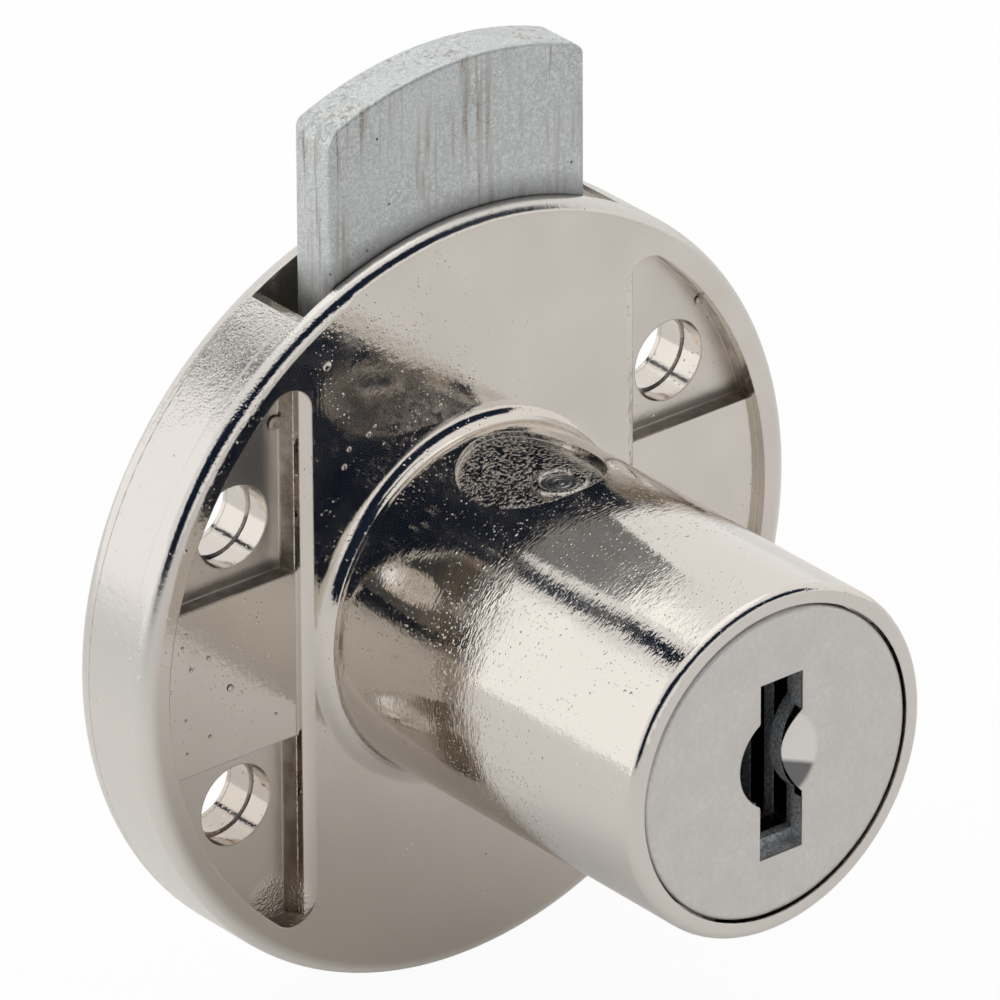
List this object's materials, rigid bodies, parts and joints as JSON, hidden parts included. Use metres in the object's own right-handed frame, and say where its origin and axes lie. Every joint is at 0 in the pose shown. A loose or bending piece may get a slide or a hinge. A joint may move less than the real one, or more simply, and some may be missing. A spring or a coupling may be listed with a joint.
{
  "type": "round drawer lock",
  "caption": "Round screw-on drawer lock: a wafer plug in the barrel turns a cam that slides a flat bolt out through the rim of the case.",
  "frame": {"origin": "on the barrel's axis, in the plane where the case lies against the back of the drawer front", "axes": "+Z is the way the bolt is thrown, -Y points along the barrel to the key's side, and +X is to the right as seen from the key's side"},
  "size_m": [0.04, 0.0279, 0.048],
  "materials": {
    "nickel_bright": "bright nickel plate on die-cast zinc",
    "nickel_satin": "satin nickel plate",
    "raw_zinc": "raw die-cast zinc, matte",
    "rivet_steel": "plain",
    "pin_steel": "bright",
    "brass_wafer": "stamped",
    "spring_steel": "drawn wire"
  },
  "bodies": {
    "case": {"case_body": "nickel_bright", "rear_cover": "nickel_bright", "cover_rivets": "rivet_steel", "retaining_pin": "pin_steel"},
    "plug": {"plug": "nickel_satin", "drive_cam": "raw_zinc", "wafer_spring_1": "spring_steel", "wafer_spring_2": "spring_steel", "wafer_spring_3": "spring_steel", "wafer_spring_4": "spring_steel", "wafer_spring_5": "spring_steel", "wafer_spring_6": "spring_steel", "wafer_spring_7": "spring_steel"},
    "bolt": {"bolt": "raw_zinc"},
    "wafer_1": {"wafer_1": "brass_wafer"},
    "wafer_2": {"wafer_2": "brass_wafer"},
    "wafer_3": {"wafer_3": "brass_wafer"},
    "wafer_4": {"wafer_4": "brass_wafer"},
    "wafer_5": {"wafer_5": "brass_wafer"},
    "wafer_6": {"wafer_6": "brass_wafer"},
    "wafer_7": {"wafer_7": "brass_wafer"}
  },
  "joints": [
    {"name": "plug_turn", "type": "hinge", "parent": "case", "child": "plug", "pos_m": [0, 0, 0], "axis": [0, 1, 0], "range_deg": [0, 90]},
    {"name": "bolt_slide", "type": "slide", "parent": "case", "child": "bolt", "axis": [0, 0, 1], "range_m": [-0.008, 0]},
    {"name": "wafer_1_slide", "type": "slide", "parent": "plug", "child": "wafer_1", "axis": [0, 0, 1], "range_m": [0, 0.0006], "stiffness_N_per_m": 50, "springref_m": 0.0015, "deforming": ["wafer_spring_1"]},
    {"name": "wafer_2_slide", "type": "slide", "parent": "plug", "child": "wafer_2", "axis": [0, 0, -1], "range_m": [0, 0.0006], "stiffness_N_per_m": 50, "springref_m": 0.0015, "deforming": ["wafer_spring_2"]},
    {"name": "wafer_3_slide", "type": "slide", "parent": "plug", "child": "wafer_3", "axis": [0, 0, 1], "range_m": [0, 0.0006], "stiffness_N_per_m": 50, "springref_m": 0.0015, "deforming": ["wafer_spring_3"]},
    {"name": "wafer_4_slide", "type": "slide", "parent": "plug", "child": "wafer_4", "axis": [0, 0, -1], "range_m": [0, 0.0006], "stiffness_N_per_m": 50, "springref_m": 0.0015, "deforming": ["wafer_spring_4"]},
    {"name": "wafer_5_slide", "type": "slide", "parent": "plug", "child": "wafer_5", "axis": [0, 0, 1], "range_m": [0, 0.0006], "stiffness_N_per_m": 50, "springref_m": 0.0015, "deforming": ["wafer_spring_5"]},
    {"name": "wafer_6_slide", "type": "slide", "parent": "plug", "child": "wafer_6", "axis": [0, 0, -1], "range_m": [0, 0.0006], "stiffness_N_per_m": 50, "springref_m": 0.0015, "deforming": ["wafer_spring_6"]},
    {"name": "wafer_7_slide", "type": "slide", "parent": "plug", "child": "wafer_7", "axis": [0, 0, 1], "range_m": [0, 0.0006], "stiffness_N_per_m": 50, "springref_m": 0.0015, "deforming": ["wafer_spring_7"]}
  ],
  "couplings": [
    {"joint": "plug_turn", "follows": "bolt_slide", "rad_per_m": -196.35}
  ]
}
